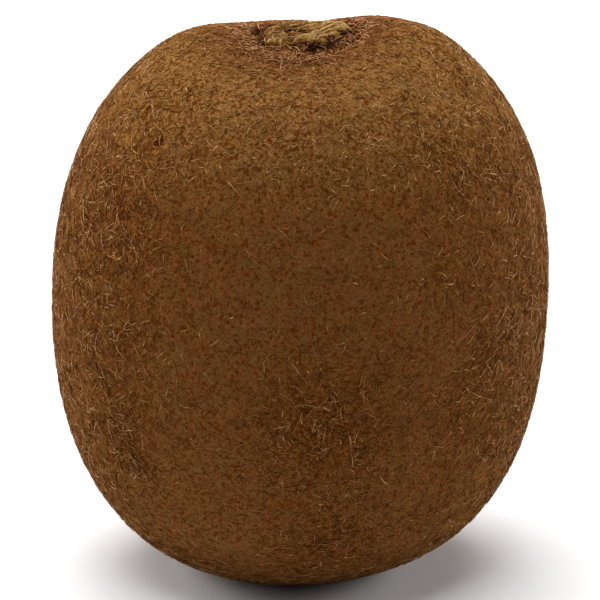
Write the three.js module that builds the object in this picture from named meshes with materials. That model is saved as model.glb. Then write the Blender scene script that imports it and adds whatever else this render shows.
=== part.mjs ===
// A whole kiwi fruit with its skin on, standing on the small flat spot at its blossom end.
//
// Millimetres. +Z runs up the fruit from the blossom end to the stem end, -Y is the front, and
// the origin is the middle of the flat spot. The fruit grew as one piece, so it is one closed
// solid: a blunt oval body with swollen hips, a bowl at the top that holds the corky scar of the
// stalk, and a ring groove round the dried flower tip underneath.

import * as THREE from 'three';
import { mergeVertices } from 'three/addons/utils/BufferGeometryUtils.js';

// Oval body, measured from the widest section.
const HALF_WIDTH = 27.25; // along X
const HALF_DEPTH = 25.5; // along Y
const STEM_REACH = 31.4; // up to the stem end
const BLOSSOM_REACH = 33.3; // down to the blossom end, before it is flattened
const BLUNTNESS = 2.3; // exponent of the upright outline: 2 is an ellipse, more is squarer
const LEAN = 0.032; // drift towards +X for each millimetre of height

// Flat spot that the fruit rests on.
const REST_DEPTH = 33.2; // below the widest section
const REST_BLEND = 0.8; // height over which the flat spot rounds into the side

// Hips that swell below the widest section. An azimuth of 0 degrees is +X, and growth is a share
// of the distance from the middle of the fruit.
const HIP_SPREAD = 0.35;
const HIPS = [
  { azimuth: 0, elevation: -46, growth: 0.048 },
  { azimuth: 180, elevation: -58, growth: 0.02 },
];

// Stem end: a bowl inside a rim that is low at front and back and high at the sides.
const BOWL_DEPTH = 3.2;
const BOWL_RADIUS = 6;
const RIM_RADIUS = 9.1;
const RIM_WIDTH = 6.2;
const RIM_HEIGHT = -1.45;
const RIM_SADDLE = 0.84;
const RIM_TILT = 0.4;

// Corky scar where the stalk broke off, with a cleft along its front right edge.
const SCAR_RADIUS = 4.8;
const SCAR_HEIGHT = 0.8;
const SCAR_EDGE = 1.2; // width of the slope round the scar
const CLEFT_RADIUS = 5.4;
const CLEFT_WIDTH = 1.5;
const CLEFT_DEPTH = 0.9;
const MOAT_SHARE = 0.3; // depth of the groove away from the cleft, as a share of the cleft
const CLEFT_AZIMUTH = -48;
const CLEFT_SPAN = 45; // degrees to each side of its middle

// Blossom end: a groove round the dried tip of the flower, which stays level with the flat spot.
const TIP_GROOVE_RADIUS = 2.5;
const TIP_GROOVE_WIDTH = 1.2;
const TIP_GROOVE_DEPTH = 0.6;

// Mesh: rings are closer together towards both ends, where the detail is.
const SEGMENTS = 72;
const RINGS = 56;
const END_CROWDING = 0.27;
const WELD_DISTANCE = 1e-3;

// Radius within which a point counts as lying on the fruit's long axis.
const ON_AXIS = 1e-6;

/** A smooth hump of height 1 at distance 0, down to 0 at the given half width. */
function hump(distance, halfWidth) {
  const share = Math.min(Math.abs(distance) / halfWidth, 1);
  return (1 + Math.cos(Math.PI * share)) / 2;
}

/** A bell curve of height 1 at distance 0. */
function bell(distance, width) {
  return Math.exp(-((distance / width) ** 2));
}

/** The unit vector that points to an azimuth and elevation given in degrees. */
function direction(azimuth, elevation) {
  const polar = THREE.MathUtils.degToRad(90 - elevation);
  const turn = THREE.MathUtils.degToRad(azimuth);
  const sideways = Math.sin(polar);
  return new THREE.Vector3(sideways * Math.cos(turn), sideways * Math.sin(turn), Math.cos(polar));
}

/** How much further out than a sphere the skin lies in one direction, before it is stretched. */
function bodyRadius(towards) {
  const across = Math.hypot(towards.x, towards.y);
  const upright = Math.abs(towards.z);
  let radius = (across ** BLUNTNESS + upright ** BLUNTNESS) ** (-1 / BLUNTNESS);
  for (const { azimuth, elevation, growth } of HIPS) {
    const closeness = towards.dot(direction(azimuth, elevation));
    radius *= 1 + growth * Math.exp((closeness - 1) / HIP_SPREAD ** 2);
  }
  return radius;
}

/** Height that the stem end's bowl and rim add at a point of the top. */
function bowlAndRim(x, y) {
  const radius = Math.hypot(x, y);
  const saddle = (RIM_SADDLE * (x * x - y * y)) / RIM_RADIUS ** 2;
  const tilt = (RIM_TILT * x) / RIM_RADIUS;
  const rim = (RIM_HEIGHT + saddle + tilt) * bell(radius - RIM_RADIUS, RIM_WIDTH);
  return rim - BOWL_DEPTH * bell(radius, BOWL_RADIUS);
}

/** Height that the corky scar, the groove round it and its cleft add at a point of the top. */
function stalkScar(x, y) {
  const radius = Math.hypot(x, y);
  const rise = THREE.MathUtils.smoothstep(SCAR_RADIUS + SCAR_EDGE / 2 - radius, 0, SCAR_EDGE);
  if (radius < ON_AXIS) {
    return SCAR_HEIGHT * rise;
  }
  const fromCleft = Math.acos(Math.cos(Math.atan2(y, x) - THREE.MathUtils.degToRad(CLEFT_AZIMUTH)));
  const cleft = hump(fromCleft, THREE.MathUtils.degToRad(CLEFT_SPAN));
  const depth = CLEFT_DEPTH * (MOAT_SHARE + (1 - MOAT_SHARE) * cleft);
  return SCAR_HEIGHT * rise - depth * hump(radius - CLEFT_RADIUS, CLEFT_WIDTH);
}

/** Height above the flat spot, once everything that would lie below it is flattened. */
function settle(height) {
  if (height <= 0) {
    return 0;
  }
  if (height < REST_BLEND) {
    return height ** 2 / (2 * REST_BLEND);
  }
  return height - REST_BLEND / 2;
}

/** The point of the skin that lies in one direction from the middle of the fruit. */
function skinPoint(towards) {
  const isTop = towards.z > 0;
  const reach = towards.clone().multiplyScalar(bodyRadius(towards));
  const x = HALF_WIDTH * reach.x;
  const y = HALF_DEPTH * reach.y;
  const radius = Math.hypot(x, y);
  let height = (isTop ? STEM_REACH : BLOSSOM_REACH) * reach.z;
  if (isTop) {
    height += Math.min(reach.z ** 2, 1) * (bowlAndRim(x, y) + stalkScar(x, y));
  }
  let settled = settle(height + REST_DEPTH);
  if (!isTop) {
    settled += TIP_GROOVE_DEPTH * hump(radius - TIP_GROOVE_RADIUS, TIP_GROOVE_WIDTH);
  }
  return new THREE.Vector3(x + LEAN * settled, y, settled);
}

/** A latitude from -1 at the blossom end to 1 at the stem end, crowded towards both ends. */
function crowdEnds(latitude) {
  return latitude * (1 + END_CROWDING * (1 - latitude ** 2));
}

/** The closed skin of the fruit: a sphere's grid with each vertex moved to its skin point. */
function fruitGeometry() {
  const sphere = new THREE.SphereGeometry(1, SEGMENTS, RINGS);
  sphere.rotateX(Math.PI / 2);
  const position = sphere.getAttribute('position');
  const towards = new THREE.Vector3();
  for (let i = 0; i < position.count; i += 1) {
    towards.fromBufferAttribute(position, i);
    const latitude = Math.asin(THREE.MathUtils.clamp(towards.z, -1, 1)) / (Math.PI / 2);
    const crowded = (crowdEnds(latitude) * Math.PI) / 2;
    const across = Math.hypot(towards.x, towards.y);
    const scale = across > ON_AXIS ? Math.cos(crowded) / across : 0;
    towards.set(towards.x * scale, towards.y * scale, Math.sin(crowded));
    position.setXYZ(i, ...skinPoint(towards));
  }
  sphere.deleteAttribute('normal');
  sphere.deleteAttribute('uv');
  const welded = mergeVertices(sphere, WELD_DISTANCE);
  welded.computeVertexNormals();
  return welded;
}

/** Dull brown, leathery skin under its fuzz. */
function skinMaterial() {
  return new THREE.MeshStandardMaterial({ color: 0x6b4423, roughness: 0.92, metalness: 0 });
}

const fruit = new THREE.Mesh(fruitGeometry(), skinMaterial());
fruit.name = 'kiwi_fruit';

const group = new THREE.Group();
group.add(fruit);

export default group;
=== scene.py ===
"""A whole kiwi fruit: fuzzy skin, corky stalk scar and dried flower tip, built round the CAD solid."""

import math

import bmesh
import bpy
import numpy as np
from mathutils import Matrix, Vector, noise
from mathutils.bvhtree import BVHTree


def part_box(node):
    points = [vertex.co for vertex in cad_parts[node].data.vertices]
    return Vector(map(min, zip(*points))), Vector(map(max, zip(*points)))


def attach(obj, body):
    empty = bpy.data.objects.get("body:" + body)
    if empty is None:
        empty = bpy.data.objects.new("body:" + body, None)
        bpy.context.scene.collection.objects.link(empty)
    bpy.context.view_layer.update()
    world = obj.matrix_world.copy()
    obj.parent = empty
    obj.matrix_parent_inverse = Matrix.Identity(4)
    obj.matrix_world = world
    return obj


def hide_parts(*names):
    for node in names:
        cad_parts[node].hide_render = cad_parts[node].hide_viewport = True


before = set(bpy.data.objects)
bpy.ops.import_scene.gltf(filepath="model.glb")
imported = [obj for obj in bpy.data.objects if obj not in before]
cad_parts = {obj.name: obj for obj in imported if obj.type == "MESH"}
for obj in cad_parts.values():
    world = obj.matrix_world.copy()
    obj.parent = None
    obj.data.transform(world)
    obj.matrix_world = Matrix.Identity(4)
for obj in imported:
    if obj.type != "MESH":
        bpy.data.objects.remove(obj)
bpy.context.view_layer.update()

# Sizes are in metres, in the frame of the CAD part: +Z up the fruit, -Y to the front.
MM = 0.001
BODY = "root"
NODE = "kiwi_fruit"
BAKE_MAP = "OFBake"
LOW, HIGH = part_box(NODE)
MIDDLE = (LOW + HIGH) / 2

# Colours are display values from 0 to 255; a ramp's stops are positions with their colours.
WHITE = (255, 255, 255)
BLACK = (0, 0, 0)
SKIN_PATCHES = [(0.3, (108, 82, 48)), (0.5, (114, 80, 48)), (0.7, (120, 78, 48))]
# painted light: the shoulders' colour, paler as if lit from above
PAINTED_TOP_LIGHT_BROWN = (135, 104, 68)
# the felt's darker ends are painted shade between its strokes, deepest where the coat is long
SMOOTH_FELT = [(0.7, (206, 170, 108)), (0.98, (246, 238, 230))]
ROUGH_FELT = [(0.74, (140, 92, 32)), (0.98, (255, 238, 184))]
SPECK_BROWN = (88, 43, 5)
# the skin round the scar: its own red-brown, made darker still as painted shade in the groove round
# the cork
RING_BROWN_AND_SHADE = (66, 23, 2)
NICK_BROWN = (56, 25, 7)
# painted shadow in the clefts beside the cork
CLEFT_SHADOW_BLACK = (18, 9, 8)
SHEEN_GOLD = (235, 180, 100)
GOLDEN_FUZZ = [
    (0.0, (66, 26, 0)),
    (0.35, (110, 69, 26)),
    (0.7, (158, 112, 56)),
    (1.0, (226, 183, 130)),
]
REDDISH_FUZZ = [
    (0.0, (64, 20, 0)),
    (0.35, (111, 61, 25)),
    (0.7, (164, 107, 63)),
    (1.0, (228, 176, 128)),
]
FUZZ_FLECKS = [(0.35, (190, 185, 180)), (0.65, WHITE)]
# cap tones: the darkest serve as painted shade in the hollows and at the edges, the lightest as
# painted highlights on the cork's ridges
CORK_SHADES = [
    (0.2, (20, 10, 8)),
    (0.4, (70, 38, 6)),
    (0.6, (112, 80, 38)),
    (0.8, (140, 108, 59)),
    (1.0, (172, 140, 92)),
]
FLOOR_GREYS = [(0.3, (238, 238, 238)), (0.7, (242, 242, 242))]

# Camera, on the front of the fruit and looking down on it a little.
CAMERA_ELEVATION = math.radians(20)
CAMERA_DISTANCE = 600 * MM
FRAME_WIDTH = 66.37 * MM  # what the picture shows across, at the distance of the fruit
AIM_SHARE = 0.4935  # height of the aim, as a share of the fruit's height
SENSOR_WIDTH = 36  # millimetres, as Blender states it

# Softboxes: name, place in metres from the middle of the fruit, side in metres, power in watts.
SOFTBOXES = [
    ("top_light", (-0.06, 0.05, 0.8), 0.9, 13),
    ("left_light", (-0.76, 0.33, 0.22), 0.6, 8.6),
    ("right_light", (0.76, 0.38, 0.06), 0.6, 11.4),
]
WORLD_STRENGTH = 0.05
FLOOR_HALF = 1500 * MM

# Skin.
SKIN_SEGMENTS = 264
SKIN_RINGS = 254
END_CROWDING = 0.27
WELD_DISTANCE = 0.001 * MM
FACET_ANGLE = math.radians(60)  # bend up to which two triangles are joined into one facet
GUIDE_LEVELS = 2
PRESSED = 0.15 * MM  # how far the flat spot's skin is pressed in by the fuzz it lies on

# Lumps, strokes and specks of the materials.
PATCH_SIZE = 1.6 * MM
STROKE_WIDTH = 0.2 * MM
STROKE_LENGTH = 1.1 * MM
STROKE_SHIFT = 7 * MM  # keeps the strokes of one direction unlike those of the others
STROKE_DIRECTIONS = [(1, 1, 1), (1, -1, -1), (-1, 1, -1), (-1, -1, 1)]
GRAIN_SIZE = 0.3 * MM
SPECK_SPACING = 0.66 * MM
SPECK_CLUSTER = 1.2 * MM
FELT_DEPTH = 0.12 * MM
FLECK_SIZE = 0.4 * MM
CRUMB_SIZE = 0.2 * MM
CRUMB_DEPTH = 0.1 * MM
PAPER_CLOUDS = 40 * MM

# Stalk scar at the top: places are millimetres from the middle of the scar, seen from above.
SCAR_CENTRE = Vector((1.8 * MM, 0, 0))
CORK_BED = 1 * MM  # how far the skin is sunk under the cork
SCAR_RINGS = 76
SCAR_SEGMENTS = 240
SCAR_OUTLINE = [  # azimuth in degrees and distance of the cork's edge
    (5, 4.5),
    (30, 6.0),
    (70, 5.0),
    (105, 4.6),
    (140, 5.6),
    (165, 5.0),
    (193, 4.6),
    (218, 5.4),
    (247, 5.1),
    (274, 4.5),
    (288, 4.0),
    (318, 3.5),
    (343, 3.7),
]
CLEFTS = [  # path of each cleft beside the cork, with its width and its strength; painted shadow makes the clefts dark
    ([(0.3, -4.7), (1.5, -4.0), (3.0, -2.6), (4.2, -0.7), (5.1, 1.6)], 0.65, 1.0),
    ([(-5.3, 2.6), (-5.4, 1.0), (-5.0, -0.6), (-4.7, -1.8), (-4.5, -2.9)], 0.5, 0.9),
    ([(-4.9, 4.1), (-4.0, 4.8), (-2.8, 4.9)], 0.4, 0.7),
]
LEFT_LOBE = (-3.0, -1.7)
RIGHT_LOBE = [(-0.6, -2.2), (3.6, 1.2)]
LOBE_GROOVE = [(-2.2, 2.2), (-2.0, -0.6), (-1.7, -4.0)]
# ridges that are raised and painted lighter as highlights
PAINTED_HIGHLIGHT_RIDGES = [
    [(0.4, 0.5), (2.2, 1.0), (3.9, 2.2)],
    [(-1.6, -3.0), (0.8, -2.9), (2.0, -1.8)],
    [(-3.9, -2.4), (-2.6, -2.9)],
    [(-0.4, -1.2), (1.6, -0.6)],
]
SCAR_PITS = [[(-3.0, 0.6), (-2.2, 0.2)], [(-1.9, 1.3), (-0.5, 1.0)], [(-5.0, 3.4), (-3.0, 3.8)]]
GRAIN_AZIMUTH = math.radians(30)  # run of the fibres on the right lobe
SCAR_FIBRES = 1000

# Dried flower tip underneath, on the long axis of the fruit.
TIP_CENTRE = Vector((0, 0, 0))
TIP_RADIUS = 2.4 * MM
TIP_HOLLOW = 0.3 * MM  # how far the skin is sunk round the tip
TIP_RINGS = 26
TIP_SEGMENTS = 120
TIP_FIBRES = 240
CAP_THICKNESS = 1.5 * MM  # of the cork and of the dried tip, most of it inside the skin

# Small rises and dips along the back rim of the bowl: place along X, half width and height.
RIM_WAVES = [
    (-2 * MM, 9 * MM, -0.07 * MM),
    (-6.2 * MM, 3.2 * MM, -0.16 * MM),
    (3.2 * MM, 1.4 * MM, -0.26 * MM),
    (8.6 * MM, 1.8 * MM, 0.1 * MM),
    (13.8 * MM, 2.6 * MM, -0.22 * MM),
]

# A small healed nick on the upper left of the front.
NICK_PLACE = Vector((-14.1 * MM, -14.0 * MM, 53.9 * MM))
NICK_RADIUS = 0.8 * MM
NICK_DEPTH = 0.4 * MM

# Fuzz.
TUFTS = [  # middle and radius of the places where the coat is long, besides both flanks
    (Vector((4.3 * MM, -25 * MM, 25 * MM)), 8 * MM),
    (Vector((4.9 * MM, -19.5 * MM, 9.5 * MM)), 6 * MM),
    (Vector((-12 * MM, -9.5 * MM, 3.7 * MM)), 5 * MM),
    (Vector((-19 * MM, -13 * MM, 48 * MM)), 6 * MM),
    (Vector((-20 * MM, -15 * MM, 19.5 * MM)), 5 * MM),
]
SHORT_HAIRS = 18800  # in each lot
LONG_HAIRS = 12400
LOTS = 2
FUZZ_SEED = 5
FIBRE_SEED = 9
FLOOR_GAP = 0.05 * MM  # least height of a hair's middle line above the floor
SHARPEST_CURVE = 5 * MM  # radius of the tightest bend of the skin that a hair follows
TAPER = 0.7  # share of its width that a hair loses towards its tip
FLATNESS = 0.6  # a hair's section is an even triangle pressed to this share of its height
SINK = 0.25  # how far a hair's middle line is sunk into the skin, as a share of its width
CELL_MARGIN = 0.1  # gap round each hair on the bake map, as a share of its cell

# Least and most length and width of each kind of hair, in millimetres.
SHORT_LENGTHS = (0.45, 1.0)
SHORT_WIDTHS = (0.09, 0.15)
LONG_LENGTHS = (0.6, 3.8)
LONG_WIDTHS = (0.08, 0.13)
FIBRE_LENGTHS = (0.5, 1.2)
FIBRE_WIDTHS = (0.06, 0.1)


# ---------------------------------------------------------------- small helpers


def link(piece):
    """Puts a new object in the scene."""
    bpy.context.scene.collection.objects.link(piece)
    return piece


def add_piece(name, mesh, material):
    """A mesh that belongs to the fruit and moves with its body."""
    piece = link(bpy.data.objects.new(name, mesh))
    mesh.materials.append(material)
    mesh.shade_smooth()
    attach(piece, BODY)
    return piece


def smoothstep(low, high, value):
    """0 below low, 1 above high, and a smooth rise between them."""
    share = np.clip((value - low) / (high - low), 0, 1)
    return share * share * (3 - 2 * share)


def bell(distance, width):
    """A bell curve of height 1 at distance 0."""
    return np.exp(-((distance / width) ** 2))


def unit(vectors):
    """Each row scaled to length 1."""
    return vectors / np.maximum(np.linalg.norm(vectors, axis=-1, keepdims=True), 1e-12)


def noise_at(points, scale, seed):
    """Smooth noise from about -1 to 1 at each point, with lumps about as large as scale."""
    shift = Vector((seed * 7.3, seed * 3.1, seed * 5.7))
    rows = (points / scale).reshape(-1, 3)
    values = [noise.noise(Vector(row) + shift) for row in rows]
    return np.array(values).reshape(points.shape[:-1])


def path_distance(x, y, path):
    """Distance from places to the nearest part of a path of straight lines."""
    nearest = np.full(np.shape(x), np.inf)
    for start, end in zip(path, path[1:]):
        run = (end[0] - start[0], end[1] - start[1])
        share = ((x - start[0]) * run[0] + (y - start[1]) * run[1]) / (run[0] ** 2 + run[1] ** 2)
        share = np.clip(share, 0, 1)
        away = np.hypot(x - start[0] - share * run[0], y - start[1] - share * run[1])
        nearest = np.minimum(nearest, away)
    return nearest


def on_plan(x, y):
    """Points of a flat plan, at height 0."""
    return np.stack([x, y, np.zeros_like(x)], axis=-1)


def on_scar_plan(points):
    """Places in millimetres from the middle of the scar, seen from above."""
    return (points[..., 0] - SCAR_CENTRE.x) / MM, (points[..., 1] - SCAR_CENTRE.y) / MM


def scar_radius(azimuth):
    """Distance of the cork's edge from the middle of the scar, in millimetres."""
    azimuths, radii = zip(*SCAR_OUTLINE)
    return np.interp(np.degrees(azimuth), azimuths, radii, period=360)


def past_scar(points):
    """How far outside the cork's edge points of the top lie, in millimetres."""
    x, y = on_scar_plan(points)
    return np.hypot(x, y) - scar_radius(np.arctan2(y, x))


def around_scar(points, inner, outer):
    """1 up to inner millimetres past the cork's edge, 0 from outer on, and 0 below the top."""
    height = (points[..., 2] - LOW.z) / (HIGH.z - LOW.z)
    return smoothstep(0.75, 0.85, height) * (1 - smoothstep(inner, outer, past_scar(points)))


def clefts(points):
    """1 in the middle of a cleft beside the scar, 0 away from them; their edges are ragged."""
    x, y = on_scar_plan(points)
    x = x + 0.4 * noise_at(points, 1.1 * MM, 60)
    y = y + 0.4 * noise_at(points, 1.1 * MM, 61)
    deepest = np.zeros_like(x)
    for path, width, strength in CLEFTS:
        deepest = np.maximum(deepest, strength * bell(path_distance(x, y, path), width))
    return deepest * around_scar(points, 2, 3)


def nick(points):
    """1 in the middle of the healed nick, 0 away from it."""
    return bell(np.linalg.norm(points - np.array(NICK_PLACE), axis=-1), NICK_RADIUS)


def hollows(points):
    """1 in the middle of a cleft or of the nick, 0 away from them."""
    return np.maximum(clefts(points), np.minimum(1.6 * nick(points), 1))


def shag(points):
    """Where the coat is long: the flanks, the tufts at front and back and, less, both ends."""
    x, y, z = points[..., 0], points[..., 1], points[..., 2] - LOW.z
    uneven = 4.5 * MM * noise_at(points, 6 * MM, 20)
    thick = smoothstep(9 * MM, 25 * MM, np.abs(x - MIDDLE.x) + uneven)
    thick += 0.45 * smoothstep(48 * MM, 54 * MM, z) + 0.5 * (1 - smoothstep(4 * MM, 9 * MM, z))
    for middle, radius in TUFTS:
        front = np.stack([x, y, z], axis=-1) - np.array(middle)
        back = np.stack([-x, -y, z], axis=-1) - np.array(middle)
        for away in (front, back):
            thick += bell(np.linalg.norm(away, axis=-1), radius)
    return np.clip(thick, 0, 1)


def back_rim(points):
    """1 on the rim behind the scar, 0 away from it."""
    height = points[..., 2] - LOW.z
    return smoothstep(2 * MM, 5 * MM, points[..., 1]) * smoothstep(52 * MM, 58 * MM, height)


def pale(points):
    """1 on the shoulders of the stem end, which are painted paler as light from above, 0 below them.
    """
    return smoothstep(47 * MM, 58 * MM, points[..., 2] - LOW.z)


# ---------------------------------------------------------------- materials


def new_material(name):
    """A node material, its node tree and its Principled shader."""
    material = bpy.data.materials.new(name)
    material.use_nodes = True
    tree = material.node_tree
    shader = next(n for n in tree.nodes if n.type == "BSDF_PRINCIPLED")
    return material, tree, shader


def linear(display):
    """A colour given as display values, in the linear light that nodes use."""
    return tuple((v / 255) ** 2.2 for v in display) + (1.0,)


def connect(tree, sockets, values):
    """Feeds each input socket from another socket, or sets it to a plain value."""
    for socket, value in zip(sockets, values):
        if isinstance(value, bpy.types.NodeSocket):
            tree.links.new(value, socket)
        else:
            socket.default_value = value


def set_inputs(node, values):
    """Sets inputs of a node to values that are the same everywhere."""
    for name, value in values.items():
        node.inputs[name].default_value = value


def ramp(tree, source, stops):
    """A colour ramp driven by a value."""
    node = tree.nodes.new("ShaderNodeValToRGB")
    elements = node.color_ramp.elements
    while len(elements) < len(stops):
        elements.new(0.5)
    for element, (position, display) in zip(elements, stops):
        element.position = position
        element.color = linear(display)
    tree.links.new(source, node.inputs["Fac"])
    return node.outputs["Color"]


def mixed(tree, share, first, second, blend="MIX"):
    """One colour over another, by a share from 0 to 1."""
    node = tree.nodes.new("ShaderNodeMix")
    node.data_type = "RGBA"
    node.blend_type = blend
    connect(tree, (node.inputs[0], node.inputs[6], node.inputs[7]), (share, first, second))
    return node.outputs[2]


def maths(tree, operation, first, second):
    """One arithmetic node."""
    node = tree.nodes.new("ShaderNodeMath")
    node.operation = operation
    connect(tree, node.inputs, (first, second))
    return node.outputs[0]


def position_socket(tree):
    """Places on the object, in metres in the frame of the part."""
    return tree.nodes.new("ShaderNodeTexCoord").outputs["Object"]


def attribute_socket(tree, name):
    """A number that the mesh stores at each vertex."""
    node = tree.nodes.new("ShaderNodeAttribute")
    node.attribute_name = name
    return node.outputs["Fac"]


def noise_socket(tree, vector, size, detail=3.0, roughness=0.55):
    """Noise from 0 to 1 with lumps of about the given size."""
    node = tree.nodes.new("ShaderNodeTexNoise")
    set_inputs(node, {"Scale": 1 / size, "Detail": detail, "Roughness": roughness})
    tree.links.new(vector, node.inputs["Vector"])
    return node.outputs["Fac"]


def spots_socket(tree, vector, size):
    """Distance to the middle of the nearest of many scattered spots, in spot spacings."""
    node = tree.nodes.new("ShaderNodeTexVoronoi")
    set_inputs(node, {"Scale": 1 / size})
    tree.links.new(vector, node.inputs["Vector"])
    return node.outputs["Distance"]


def distance_socket(tree, vector, place, unit_length):
    """Distance from one place, counted in the given length."""
    node = tree.nodes.new("ShaderNodeVectorMath")
    node.operation = "DISTANCE"
    connect(tree, node.inputs[:2], (vector, place))
    return maths(tree, "DIVIDE", node.outputs["Value"], unit_length)


def strokes_socket(tree, vector, width, length):
    """Short strokes that lie in the four directions of a cube's diagonals."""
    strokes = None
    size = (width, width, length)
    for towards in map(Vector, STROKE_DIRECTIONS):
        mapping = tree.nodes.new("ShaderNodeMapping")
        mapping.vector_type = "TEXTURE"
        turn = towards.to_track_quat("Z", "Y").to_euler()
        set_inputs(mapping, {"Location": towards * STROKE_SHIFT, "Rotation": turn, "Scale": size})
        tree.links.new(vector, mapping.inputs["Vector"])
        lying = noise_socket(tree, mapping.outputs["Vector"], 1, detail=1)
        strokes = lying if strokes is None else maths(tree, "MAXIMUM", strokes, lying)
    return strokes


def bump(tree, shader, height, distance, strength):
    """Fine relief on a shader."""
    node = tree.nodes.new("ShaderNodeBump")
    set_inputs(node, {"Strength": strength, "Distance": distance})
    tree.links.new(height, node.inputs["Height"])
    tree.links.new(node.outputs["Normal"], shader.inputs["Normal"])


def ground_colour(tree, place):
    """Brown skin in olive and reddish patches, with painted light from above making the shoulders
    paler.
    """
    body = ramp(tree, noise_socket(tree, place, PATCH_SIZE, detail=4), SKIN_PATCHES)
    return mixed(tree, attribute_socket(tree, "pale"), body, linear(PAINTED_TOP_LIGHT_BROWN))


def felted(tree, ground, felt):
    """The ground's colour multiplied by the felt: its own strokes, with painted shade between them
    that is stronger where the coat is long.
    """
    smooth, rough = ramp(tree, felt, SMOOTH_FELT), ramp(tree, felt, ROUGH_FELT)
    # painted shade between the strokes, deepest where the coat is long
    shade = mixed(tree, attribute_socket(tree, "shag"), smooth, rough)
    return mixed(tree, 1.0, ground, shade, "MULTIPLY")


def speck_mask(tree, place):
    """White in small scattered specks of uneven size, black between them."""
    sizes = noise_socket(tree, place, SPECK_CLUSTER)
    specks = spots_socket(tree, place, SPECK_SPACING)
    field = maths(tree, "ADD", specks, maths(tree, "MULTIPLY", sizes, 0.5))
    return ramp(tree, field, [(0.45, WHITE), (0.62, BLACK)])


def nick_mask(tree, place, grain):
    """White in the healed nick, whose edge is ragged, and black away from it."""
    away = distance_socket(tree, place, NICK_PLACE, 2 * NICK_RADIUS)
    return ramp(tree, maths(tree, "ADD", away, grain), [(0.85, WHITE), (1.0, BLACK)])


def skin_material():
    """Brown felt with dark specks between its strokes, redder beside the scar, where painted shade
    darkens the skin round it and painted shadow blackens its clefts.
    """
    material, tree, shader = new_material("skin")
    place = position_socket(tree)
    strokes = strokes_socket(tree, place, STROKE_WIDTH, STROKE_LENGTH)
    grain = noise_socket(tree, place, GRAIN_SIZE, detail=2, roughness=0.6)
    felt = maths(tree, "ADD", strokes, maths(tree, "MULTIPLY", grain, 0.5))
    base = felted(tree, ground_colour(tree, place), felt)
    for mask, display in (
        (speck_mask(tree, place), SPECK_BROWN),
        # reddish skin round the scar, darkened further as painted shade
        (attribute_socket(tree, "ring"), RING_BROWN_AND_SHADE),
        (nick_mask(tree, place, grain), NICK_BROWN),
        # painted shadow in the clefts
        (attribute_socket(tree, "dark"), CLEFT_SHADOW_BLACK),
    ):
        base = mixed(tree, mask, base, linear(display))
    tree.links.new(base, shader.inputs["Base Color"])
    set_inputs(
        shader,
        {
            "Roughness": 0.8,
            "Specular IOR Level": 0.02,
            "Sheen Weight": 0.2,
            "Sheen Roughness": 0.4,
            "Sheen Tint": linear(SHEEN_GOLD),
        },
    )
    bump(tree, shader, felt, FELT_DEPTH, 1.0)
    return material


def hair_material():
    """Golden and reddish fuzz, each hair with its own tone."""
    material, tree, shader = new_material("fuzz")
    tone = attribute_socket(tree, "tone")
    golden, reddish = ramp(tree, tone, GOLDEN_FUZZ), ramp(tree, tone, REDDISH_FUZZ)
    shade = mixed(tree, attribute_socket(tree, "rust"), golden, reddish)
    flecks = ramp(tree, noise_socket(tree, position_socket(tree), FLECK_SIZE), FUZZ_FLECKS)
    tree.links.new(mixed(tree, 1.0, shade, flecks, "MULTIPLY"), shader.inputs["Base Color"])
    set_inputs(shader, {"Roughness": 0.65, "Specular IOR Level": 0.02})
    return material


def cork_material():
    """Tan cork with brown and almost black hollows, from the tone that the mesh stores: its own grain,
    with painted shade in the groove and at the edge and painted highlights on ridges.
    """
    material, tree, shader = new_material("cork")
    place = position_socket(tree)
    crumbs = noise_socket(tree, place, CRUMB_SIZE, detail=4, roughness=0.7)
    grain_and_painted_light = maths(tree, "ADD", attribute_socket(tree, "cork"), maths(tree, "MULTIPLY", crumbs, 0.4))
    tree.links.new(ramp(tree, grain_and_painted_light, CORK_SHADES), shader.inputs["Base Color"])
    set_inputs(shader, {"Roughness": 0.9, "Specular IOR Level": 0.06})
    bump(tree, shader, crumbs, CRUMB_DEPTH, 0.8)
    return material


def floor_material():
    """Plain pale paper."""
    material, tree, shader = new_material("floor")
    clouds = noise_socket(tree, position_socket(tree), PAPER_CLOUDS)
    tree.links.new(ramp(tree, clouds, FLOOR_GREYS), shader.inputs["Base Color"])
    set_inputs(shader, {"Roughness": 0.8})
    return material


# ---------------------------------------------------------------- camera, lights, floor


def add_camera():
    """The camera at the front, aimed at the middle of the fruit."""
    data = bpy.data.cameras.new("camera")
    data.sensor_width = SENSOR_WIDTH
    data.lens = SENSOR_WIDTH * CAMERA_DISTANCE / FRAME_WIDTH
    camera = link(bpy.data.objects.new("camera", data))
    aim = Vector((MIDDLE.x, 0, LOW.z + AIM_SHARE * (HIGH.z - LOW.z)))
    back = Vector((0, -math.cos(CAMERA_ELEVATION), math.sin(CAMERA_ELEVATION)))
    camera.location = aim + back * CAMERA_DISTANCE
    camera.rotation_euler = (-back).to_track_quat("-Z", "Y").to_euler()
    bpy.context.scene.camera = camera


def add_softbox(name, place, size, power):
    """A square area light that faces the middle of the fruit."""
    data = bpy.data.lights.new(name, "AREA")
    data.size = size
    data.energy = power
    box = link(bpy.data.objects.new(name, data))
    box.location = MIDDLE + Vector(place)
    box.rotation_euler = (MIDDLE - box.location).to_track_quat("-Z", "Y").to_euler()


def add_lights():
    """A large overhead softbox, one low softbox at each side and a faint white world."""
    for name, place, size, power in SOFTBOXES:
        add_softbox(name, place, size, power)
    world = bpy.data.worlds.new("studio")
    world.use_nodes = True
    background = world.node_tree.nodes["Background"]
    set_inputs(background, {"Color": linear(WHITE), "Strength": WORLD_STRENGTH})
    bpy.context.scene.world = world


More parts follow.
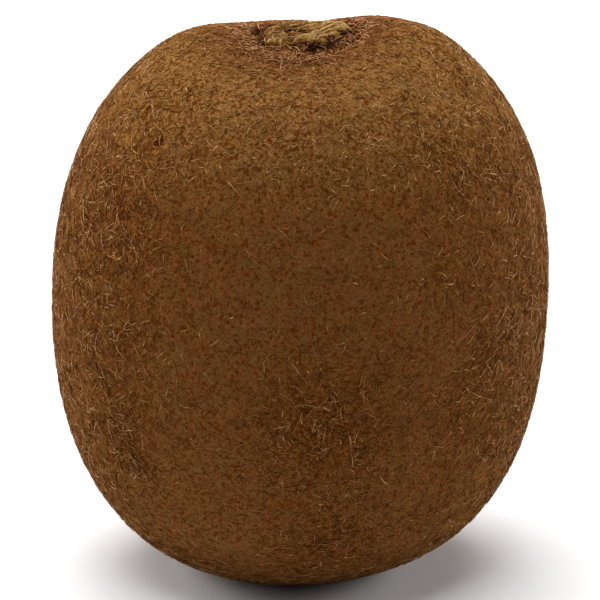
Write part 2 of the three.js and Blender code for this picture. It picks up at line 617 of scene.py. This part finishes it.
def add_floor():
    """A plain pale sheet under the fruit."""
    mesh = bpy.data.meshes.new("floor")
    signs = [(-1, -1), (1, -1), (1, 1), (-1, 1)]
    corners = [(FLOOR_HALF * x, FLOOR_HALF * y, 0) for x, y in signs]
    mesh.from_pydata(corners, [], [(0, 1, 2, 3)])
    mesh.materials.append(floor_material())
    floor = link(bpy.data.objects.new("floor", mesh))
    floor.location.z = LOW.z


# ---------------------------------------------------------------- grids


def ring_azimuths(segments):
    """Where the points of a ring grid lie round its axis, from the back on."""
    return np.linspace(0, 2 * math.pi, segments, endpoint=False) + math.pi / 2


def grid_mesh(name, points):
    """A closed mesh from a ring grid, with one vertex at each end, and its bake map."""
    rings, segments = points.shape[:2]
    inner = points[1:-1].reshape(-1, 3)
    vertices = np.vstack([points[:1, 0], inner, points[-1:, 0]])
    top = len(vertices) - 1

    def index(ring, segment):
        return 1 + (ring - 1) * segments + segment % segments

    faces = []
    places = []
    for j in range(segments):
        left, right = j / segments, (j + 1) / segments
        middle = (left + right) / 2
        low, high = 1 / (rings - 1), (rings - 2) / (rings - 1)
        faces.append((0, index(1, j + 1), index(1, j)))
        places.append((middle, 0, right, low, left, low))
        for i in range(1, rings - 2):
            below, above = i / (rings - 1), (i + 1) / (rings - 1)
            faces.append((index(i, j), index(i, j + 1), index(i + 1, j + 1), index(i + 1, j)))
            places.append((left, below, right, below, right, above, left, above))
        faces.append((index(rings - 2, j), index(rings - 2, j + 1), top))
        places.append((left, high, right, high, middle, 1))
    mesh = bpy.data.meshes.new(name)
    mesh.from_pydata(vertices.tolist(), [], faces)
    bake_map = mesh.uv_layers.new(name=BAKE_MAP)
    bake_map.data.foreach_set("uv", [value for place in places for value in place])
    return mesh


def store(mesh, name, values):
    """Keeps one number for each vertex of a mesh."""
    attribute = mesh.attributes.new(name, "FLOAT", "POINT")
    attribute.data.foreach_set("value", np.asarray(values, np.float32).ravel())


def store_on_grid(mesh, name, values):
    """Keeps one number for each vertex of a ring grid's mesh."""
    store(mesh, name, np.concatenate([values[0, :1], values[1:-1].ravel(), values[-1, :1]]))


def grid_tree(points):
    """A ring grid as a tree in which the nearest place of the surface can be found."""
    rings, segments = points.shape[:2]
    first = (np.arange(rings - 1)[:, None] * segments + np.arange(segments)).ravel()
    after = (np.arange(rings - 1)[:, None] * segments + (np.arange(segments) + 1) % segments).ravel()
    faces = np.stack([first, after, after + segments, first + segments], axis=-1)
    return BVHTree.FromPolygons(points.reshape(-1, 3).tolist(), faces.tolist())


def scatter(points, count, weight, rng):
    """Random places on a ring grid, with their normals; weight thins them out by place."""
    a, d = points[:-1], points[1:]
    b, c = np.roll(a, -1, axis=1), np.roll(d, -1, axis=1)
    area = np.linalg.norm(np.cross(c - a, d - b), axis=-1) / 2
    chance = (area * weight((a + b + c + d) / 4)).ravel()
    cells = rng.choice(chance.size, size=count, p=chance / chance.sum())
    u, v = rng.random(count)[:, None], rng.random(count)[:, None]
    a, b, c, d = (grid.reshape(-1, 3)[cells] for grid in (a, b, c, d))
    places = (1 - v) * ((1 - u) * a + u * b) + v * ((1 - u) * d + u * c)
    return places, unit(np.cross(c - a, d - b))


# ---------------------------------------------------------------- skin


def guide_surface():
    """The CAD solid with its facets rounded off, as a tree that rays can be cast at."""
    mesh = bmesh.new()
    mesh.from_mesh(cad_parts[NODE].data)
    bmesh.ops.remove_doubles(mesh, verts=mesh.verts, dist=WELD_DISTANCE)
    bmesh.ops.join_triangles(
        mesh,
        faces=mesh.faces,
        angle_face_threshold=FACET_ANGLE,
        angle_shape_threshold=FACET_ANGLE,
    )
    data = bpy.data.meshes.new("guide")
    mesh.to_mesh(data)
    mesh.free()
    guide = link(bpy.data.objects.new("guide", data))
    rounding = guide.modifiers.new("rounding", "SUBSURF")
    rounding.levels = GUIDE_LEVELS
    graph = bpy.context.evaluated_depsgraph_get()
    tree = BVHTree.FromObject(guide, graph)
    bpy.data.objects.remove(guide)
    bpy.data.meshes.remove(data)
    return tree


def skin_points(guide):
    """A grid of skin points, by ring from the blossom end to the stem end and by segment."""
    share = np.linspace(-1, 1, SKIN_RINGS + 1)
    latitudes = share * (1 + END_CROWDING * (1 - share**2)) * math.pi / 2
    azimuths = ring_azimuths(SKIN_SEGMENTS)
    points = np.empty((SKIN_RINGS + 1, SKIN_SEGMENTS, 3))
    for i, latitude in enumerate(latitudes):
        across, up = math.cos(latitude), math.sin(latitude)
        for j, azimuth in enumerate(azimuths):
            towards = Vector((across * math.cos(azimuth), across * math.sin(azimuth), up))
            points[i, j] = guide.ray_cast(MIDDLE, towards)[0]
    return points


def grid_normals(points):
    """Outward normals of a closed ring grid."""
    along = np.roll(points, -1, axis=1) - np.roll(points, 1, axis=1)
    up = np.gradient(points, axis=0)
    normals = unit(np.cross(along, up))
    normals[0] = (0, 0, -1)
    normals[-1] = (0, 0, 1)
    return normals


def relief(points):
    """How far each skin point stands out: lumps, wrinkles and the rim's waves, less all hollows."""
    height = points[..., 2] - LOW.z
    lumps = 0.03 * MM * noise_at(points, 5 * MM, 1) + 0.03 * MM * noise_at(points, 1.8 * MM, 2)
    lumps *= smoothstep(0, 2 * MM, height) * (1 - around_scar(points, 0.5, 2))
    wrinkles = 0.12 * MM * around_scar(points, 0, 6) * noise_at(points, 0.9 * MM, 3)
    pressed = PRESSED * (1 - smoothstep(0, 0.5 * MM, height))
    tip = TIP_HOLLOW * bell(np.hypot(points[..., 0], points[..., 1]), 1.8 * MM)
    tip *= 1 - smoothstep(1 * MM, 2 * MM, height)
    waves = sum(rise * bell(points[..., 0] - place, width) for place, width, rise in RIM_WAVES)
    sunk = 0.5 * MM * clefts(points) + NICK_DEPTH * nick(points)
    sunk += CORK_BED * around_scar(points, -0.8, -0.1)
    return lumps + wrinkles + waves * back_rim(points) - pressed - tip - sunk


def add_skin(guide):
    """The skin of the whole fruit; returns its grid of points."""
    points = skin_points(guide)
    points = points + grid_normals(points) * relief(points)[..., None]
    mesh = grid_mesh("skin", points)
    # the skin's own red-brown round the scar, with painted shade in the groove round the cork
    store_on_grid(mesh, "ring", 0.85 * around_scar(points, 1.5, 5))
    store_on_grid(mesh, "shag", shag(points))
    # painted light from above: where the shoulders are made paler
    store_on_grid(mesh, "pale", pale(points))
    # painted shadow: the clefts' skin made almost black
    store_on_grid(mesh, "dark", np.minimum(1.4 * clefts(points), 1))
    skin = add_piece("skin", mesh, skin_material())
    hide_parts(NODE)
    return points


# ---------------------------------------------------------------- hairs


def triangle_mesh(name, vertices, faces):
    """A mesh of triangles straight from arrays."""
    mesh = bpy.data.meshes.new(name)
    mesh.vertices.add(len(vertices))
    mesh.vertices.foreach_set("co", vertices.astype(np.float32).ravel())
    mesh.loops.add(faces.size)
    mesh.loops.foreach_set("vertex_index", faces.astype(np.int32).ravel())
    mesh.polygons.add(len(faces))
    mesh.polygons.foreach_set("loop_start", np.arange(0, faces.size, 3, dtype=np.int32))
    mesh.update(calc_edges=True)
    return mesh


def strand_faces(steps):
    """Triangles of one three-sided hair, closed at its root, and their places on its own map."""
    faces = [(0, 2, 1)]
    places = [((0, 0), (0, 0.66), (0, 0.33))]
    for step in range(steps - 1):
        near, far = step / steps, (step + 1) / steps
        for corner in range(3):
            after = (corner + 1) % 3
            low, high = corner / 3, (corner + 1) / 3
            first, second = 3 * step, 3 * step + 3
            faces.append((first + corner, first + after, second + after))
            places.append(((near, low), (near, high), (far, high)))
            faces.append((first + corner, second + after, second + corner))
            places.append(((near, low), (far, high), (far, low)))
    last = 3 * (steps - 1)
    near = (steps - 1) / steps
    for corner in range(3):
        low, high = corner / 3, (corner + 1) / 3
        faces.append((last + corner, last + (corner + 1) % 3, last + 3))
        places.append(((near, low), (near, high), (1, (low + high) / 2)))
    return np.array(faces), np.array(places)


def drop_at_tips(surface, roots, normals, headings, lengths):
    """How far the surface has curved away below each hair's straight tip."""
    tips = roots + headings * lengths[:, None]
    ground = np.array([surface.find_nearest(Vector(tip))[0] for tip in tips])
    most = lengths**2 / (2 * SHARPEST_CURVE)
    return np.clip(np.sum((tips - ground) * normals, axis=-1), -most, most)


def strand_point(t, roots, normals, headings, hairs):
    """Where each hair's middle line is, from its root at t = 0 to its tip at t = 1."""
    sides = np.cross(normals, headings)
    forward = hairs["length"] * t
    sway = hairs["length"] * hairs["bend"] * (t * t - t)
    arch = hairs["lift"] * (2.4 * t * (1 - t) + 0.4 * t)
    height = arch - SINK * hairs["width"] - hairs["drop"] * t * t
    points = roots + headings * forward[:, None] + sides * sway[:, None]
    points += normals * height[:, None]
    points[:, 2] = np.maximum(points[:, 2], LOW.z + FLOOR_GAP)
    return points


def strands_mesh(name, roots, normals, headings, hairs, steps):
    """Many tapering hairs that lie along a surface; hairs holds one array for each measure."""
    sides = np.cross(normals, headings)
    corners = []
    for step in range(steps):
        t = step / steps
        axis = strand_point(t, roots, normals, headings, hairs)
        half = hairs["width"] * 0.5 * (1 - TAPER * t)
        for corner in range(3):
            turn = math.pi / 2 + corner * 2 * math.pi / 3
            out = sides * math.cos(turn) + normals * (FLATNESS * math.sin(turn))
            corners.append(axis + out * half[:, None])
    corners.append(strand_point(1.0, roots, normals, headings, hairs))
    vertices = np.stack(corners, axis=1)
    count, each = vertices.shape[:2]
    faces, places = strand_faces(steps)
    starts = np.arange(count)[:, None, None] * each
    mesh = triangle_mesh(name, vertices.reshape(-1, 3), (starts + faces).reshape(-1, 3))
    store(mesh, "tone", np.repeat(hairs["tone"], each))
    store(mesh, "rust", np.repeat(hairs["rust"], each))
    across = math.ceil(math.sqrt(count))
    cells = np.stack([np.arange(count) % across, np.arange(count) // across], axis=-1)
    bake_map = mesh.uv_layers.new(name=BAKE_MAP)
    bake_places = cells[:, None, None, :] + CELL_MARGIN + (1 - 2 * CELL_MARGIN) * places
    bake_places = bake_places / across
    bake_map.data.foreach_set("uv", bake_places.astype(np.float32).ravel())
    return mesh


def headings_at(normals, wish, rng):
    """A direction along the surface for each hair: any way, pulled either way along its wish."""
    turn = rng.uniform(0, 2 * math.pi, len(normals))
    east = unit(np.cross(np.broadcast_to((0.0, 0.02, 1.0), normals.shape), normals))
    north = np.cross(normals, east)
    free = east * np.cos(turn)[:, None] + north * np.sin(turn)[:, None]
    heading = free + wish * np.where(rng.random(len(normals)) < 0.5, 1, -1)[:, None]
    heading -= normals * np.sum(heading * normals, axis=-1, keepdims=True)
    return unit(heading)


def lie_of_fuzz(places):
    """The wish of the fuzz: to lie round the scar beside it, and up and down on the flanks."""
    x, y = on_scar_plan(places)
    around = unit(on_plan(-y, x))
    flank = smoothstep(13 * MM, 18 * MM, np.abs(places[..., 0] - MIDDLE.x))
    upwards = np.array((0, 0, 0.8)) * flank[..., None]
    return around * around_scar(places, 1, 8)[..., None] + upwards


def along_grain(places):
    """The wish of the fibres on the cork: along the grain of its right lobe."""
    x, _ = on_scar_plan(places)
    grain = np.array((math.cos(GRAIN_AZIMUTH), math.sin(GRAIN_AZIMUTH), 0))
    return grain * (1.8 * smoothstep(-2.5, -1.5, x))[..., None]


def no_wish(places):
    """The wish of fibres that lie any way."""
    return np.zeros_like(places)


# ---------------------------------------------------------------- fuzz


def open_skin(points):
    """1 on open skin, 0 on the cork, in the clefts, in the nick and on the dried tip."""
    cork = around_scar(points, -0.5, 0)
    height = points[..., 2] - LOW.z
    tip = bell(np.hypot(points[..., 0], points[..., 1]), 2 * MM) * (height < 2 * MM)
    return (1 - cork) * (1 - 0.95 * hollows(points)) * (1 - tip)


def long_coat(points):
    """How thickly the longer hairs grow."""
    patchy = smoothstep(-0.3, 0.3, noise_at(points, 3 * MM, 21))
    ring = around_scar(points, 2, 6) + 0.35 * around_scar(points, 5, 10)
    return open_skin(points) * (0.13 + shag(points) * (0.25 + 0.75 * patchy) + 2 * ring)


def rust_at(places, rng):
    """How reddish each hair is: a little in loose patches, and more beside the scar."""
    patch = 0.45 + 0.1 * shag(places) - 0.3 * pale(places) + 0.3 * noise_at(places, 2.5 * MM, 31)
    patch += rng.normal(0, 0.2, len(places))
    return np.clip(np.maximum(patch, 0.9 * around_scar(places, 3, 10)), 0, 1)


def short_hairs(places, rng):
    """Measures of the short felted hairs, painted brighter on the shoulders as light from above."""
    count = len(places)
    coat = shag(places)
    ring = around_scar(places, 1, 5)
    # painted light: hairs on the shoulders made brighter as if lit from above
    shoulder = pale(places) * (1 - ring)
    spread = 0.11 + 0.16 * coat + 0.32 * ring + 0.05 * shoulder
    skewed = rng.gamma(2, 0.7, count) - 1.4
    middling = 0.38 - 0.16 * ring + 0.16 * shoulder
    return {
        "length": rng.uniform(*SHORT_LENGTHS, count) * MM,
        "width": rng.uniform(*SHORT_WIDTHS, count) * MM,
        "lift": (rng.uniform(0.05, 0.13, count) + 0.12 * coat * rng.random(count)) * MM,
        "bend": rng.uniform(-0.8, 0.8, count),
        "tone": np.clip(middling + spread * skewed, 0, 1),
        "rust": rust_at(places, rng),
    }


def long_hairs(places, rng):
    """Measures of the longer loose hairs; bright ones lie on top, and the back rim's are short."""
    count = len(places)
    ring = around_scar(places, 1, 5)
    coat = np.maximum(shag(places), ring)
    trimmed = 1 - 0.5 * back_rim(places)
    bright = rng.random(count) < 0.2 + 0.05 * coat + 0.2 * ring
    bright_tone = rng.uniform(0.48, 0.88, count) + 0.02 * coat + 0.1 * ring
    dull_spread = 0.12 + 0.22 * coat + 0.28 * ring
    # painted light: the shoulders' hairs made brighter as if lit from above
    middling = 0.34 + 0.05 * coat - 0.1 * ring + 0.1 * pale(places) * (1 - ring)
    dull_tone = middling + dull_spread * rng.normal(0, 1, count)
    tone = np.where(bright, bright_tone, dull_tone)
    length = rng.lognormal(0.15 + 0.3 * coat - 0.1 * ring, 0.35, count)
    lift = rng.uniform(0.06, 0.16, count) + np.where(bright, 0.16, 0.08) * coat
    return {
        "length": trimmed * np.clip(length, *LONG_LENGTHS) * MM,
        "width": (rng.uniform(*LONG_WIDTHS, count) + 0.02 * ring) * MM,
        "lift": trimmed * lift * MM,
        "bend": rng.normal(0, 0.3, count),
        "tone": np.clip(tone, 0.3 * (1 - coat**2), 1),
        "rust": rust_at(places, rng),
    }


def add_strands(name, grid, count, weight, wish, measures, steps, rng):
    """A mesh of hairs scattered over a ring grid, each laid along it and short of its hollows."""
    places, normals = scatter(grid, count, weight, rng)
    headings = headings_at(normals, wish(places), rng)
    hairs = measures(places, rng)
    near_tips = places + headings * (0.7 * hairs["length"])[:, None]
    hairs["length"] *= 1 - 0.75 * np.minimum(1.5 * hollows(near_tips), 1)
    hairs["drop"] = drop_at_tips(grid_tree(grid), places, normals, headings, hairs["length"])
    return strands_mesh(name, places, normals, headings, hairs, steps)


def add_fuzz(points):
    """Short felted fuzz all over, and longer loose hairs above it."""
    rng = np.random.default_rng(FUZZ_SEED)
    material = hair_material()
    coats = [
        ("fuzz_short", SHORT_HAIRS, open_skin, short_hairs, 2),
        ("fuzz_long", LONG_HAIRS, long_coat, long_hairs, 3),
    ]
    for coat, count, weight, measures, steps in coats:
        for lot in range(LOTS):
            name = f"{coat}_{lot + 1}"
            mesh = add_strands(name, points, count, weight, lie_of_fuzz, measures, steps, rng)
            add_piece(name, mesh, material)


# ---------------------------------------------------------------- the two ends


def scar_pits(x, y):
    """1 in the middle of a dark pit of the cork, 0 away from them."""
    return np.minimum(sum(bell(path_distance(x, y, path), 0.5) for path in SCAR_PITS), 1)


def scar_relief(x, y, share):
    """Height of the cork over the bowl and its shade, which holds painted shade in the groove and at
    the sunken edge and painted highlights along the ridges; share is 0 in the middle, 1 at the edge.
    """
    plan = on_plan(x, y)
    x = x + 0.3 * noise_at(plan, 0.9, 40)
    y = y + 0.3 * noise_at(plan, 0.9, 46)
    left_x, left_y = x - LEFT_LOBE[0], y - LEFT_LOBE[1]
    left = np.hypot(left_x, left_y)
    along = x * math.cos(GRAIN_AZIMUTH) + y * math.sin(GRAIN_AZIMUTH)
    across = y * math.cos(GRAIN_AZIMUTH) - x * math.sin(GRAIN_AZIMUTH)
    swirl = on_plan(left / 0.36, np.arctan2(left_y, left_x) * 1.2)
    grain = on_plan(along / 2, across / 0.36)
    on_left = 1 - smoothstep(-2.5, -1.7, x)
    streaks = on_left * noise_at(swirl, 1.0, 41) + (1 - on_left) * noise_at(grain, 1.0, 42)
    fine = noise_at(grain, 0.45, 45)
    crumbs = noise_at(plan, 0.28, 43)
    lobes = bell(left, 1.5) + bell(path_distance(x, y, RIGHT_LOBE), 1.3)
    groove = bell(path_distance(x, y, LOBE_GROOVE), 0.35)
    ridges = sum(bell(path_distance(x, y, path), 0.3) for path in PAINTED_HIGHLIGHT_RIDGES)
    pits = scar_pits(x, y)
    edge = smoothstep(0.8, 1.0, share + 0.08 * noise_at(plan, 0.8, 44))
    height = 0.02 + 0.24 * lobes + 0.2 * streaks + 0.12 * fine + 0.08 * crumbs + 0.16 * ridges
    height -= 0.3 * groove + 0.3 * pits + 0.55 * edge
    # painted light: highlights on the ridges, shade in the groove and at the sunken edge; the pits are
    # darker too
    shade = 0.37 + 0.7 * streaks + 0.4 * fine + 0.35 * crumbs + 0.12 * lobes + 0.25 * ridges
    shade -= 0.3 * groove + 0.8 * pits + 0.3 * edge
    return height, shade


def tip_relief(x, y, share):
    """Height of the dried flower tip over the hollow round it, and its shade, darkened towards the
    edge as painted shade where it sinks into the hollow.
    """
    turn = np.arctan2(y, x)
    spokes = np.stack([np.cos(turn) * 2.2, np.sin(turn) * 2.2, share * 0.6], axis=-1)
    creases = noise_at(spokes, 0.5, 51)
    crumbs = noise_at(on_plan(x, y), 0.3, 52)
    height = 0.1 * creases + 0.05 * crumbs - 0.12 - 0.45 * smoothstep(0.75, 1.0, share)
    # painted shade: darker towards the edge, where the tip sinks into the hollow
    shade = 0.3 + 0.3 * creases + 0.2 * crumbs - 0.2 * smoothstep(0.6, 1.0, share)
    return height, shade


def add_cap(name, guide, centre, radii, shape, facing):
    """A rough disc over one end of the fruit, closed inside it; returns its outer grid."""
    rings, segments = radii.shape
    azimuths = ring_azimuths(segments)
    x = centre.x + radii * np.cos(azimuths)
    y = centre.y + radii * np.sin(azimuths)
    start = HIGH.z + MM if facing > 0 else LOW.z - MM
    height = np.empty_like(x)
    for place in np.ndindex(x.shape):
        from_outside = Vector((x[place], y[place], start))
        height[place] = guide.ray_cast(from_outside, Vector((0, 0, -facing)))[0].z
    share = np.broadcast_to(np.linspace(0, 1, rings)[:, None], x.shape)
    rise, shade = shape((x - centre.x) / MM, (y - centre.y) / MM, share)
    outer = np.stack([x, y, height + facing * rise * MM], axis=-1)
    inwards = np.array((0, 0, -facing * CAP_THICKNESS))
    foot = outer[-1:] + inwards
    under = np.broadcast_to(outer[:1, :1] + inwards, foot.shape)
    points = np.concatenate([outer, foot, under])
    shades = np.concatenate([shade, np.zeros((2, segments))])
    if facing > 0:
        outer, points, shades = outer[::-1], points[::-1], shades[::-1]
    mesh = grid_mesh(name, points)
    # the stored tone holds painted light as well as the cap's own colour
    store_on_grid(mesh, "cork", np.clip(shades, 0, 1))
    add_piece(name, mesh, cork_material())
    return outer


def disc_radii(rings, edge):
    """Distances from the middle for each ring and segment of a disc, given those of its edge."""
    return np.linspace(0, 1, rings + 1)[:, None] * edge


def dry_fibres(places, rng):
    """Measures of the coarse dry fibres at either end; those on the cork are paler."""
    count = len(places)
    tone = np.where(places[:, 2] > MIDDLE.z, 0.6, 0.3)
    return {
        "length": rng.uniform(*FIBRE_LENGTHS, count) * MM,
        "width": rng.uniform(*FIBRE_WIDTHS, count) * MM,
        "lift": rng.uniform(0.02, 0.1, count) * MM,
        "bend": rng.normal(0, 0.4, count),
        "tone": np.clip(rng.normal(tone, 0.22), 0, 1),
        "rust": rng.uniform(0, 0.2, count),
    }


def fibre_cover(points):
    """How thickly fibres grow: evenly on the dried tip; on the cork clear of edge, pits and back."""
    x, y = on_scar_plan(points)
    inside = 1 - smoothstep(-1.0, -0.4, past_scar(points))
    leftwards = 1 - 0.5 * smoothstep(-2, 0, x)
    on_cork = inside * (1 - scar_pits(x, y)) * leftwards * (1 - back_rim(points))
    return np.where(points[..., 2] > MIDDLE.z, on_cork, 1)


def add_ends(guide):
    """The corky scar with its fibres at the top and the dried flower tip underneath."""
    rng = np.random.default_rng(FIBRE_SEED)
    edge = scar_radius(ring_azimuths(SCAR_SEGMENTS)) * MM
    scar = add_cap("stalk_scar", guide, SCAR_CENTRE, disc_radii(SCAR_RINGS, edge), scar_relief, 1)
    edge = np.full(TIP_SEGMENTS, TIP_RADIUS)
    tip = add_cap("flower_tip", guide, TIP_CENTRE, disc_radii(TIP_RINGS, edge), tip_relief, -1)
    material = hair_material()
    for name, grid, count, wish in (
        ("scar_fibres", scar, SCAR_FIBRES, along_grain),
        ("tip_fibres", tip, TIP_FIBRES, no_wish),
    ):
        mesh = add_strands(name, grid, count, fibre_cover, wish, dry_fibres, 4, rng)
        add_piece(name, mesh, material)


# ---------------------------------------------------------------- the scene


bpy.context.scene.view_settings.view_transform = "Standard"
add_camera()
add_lights()
add_floor()
surface = guide_surface()
skin_grid = add_skin(surface)
add_ends(surface)
add_fuzz(skin_grid)
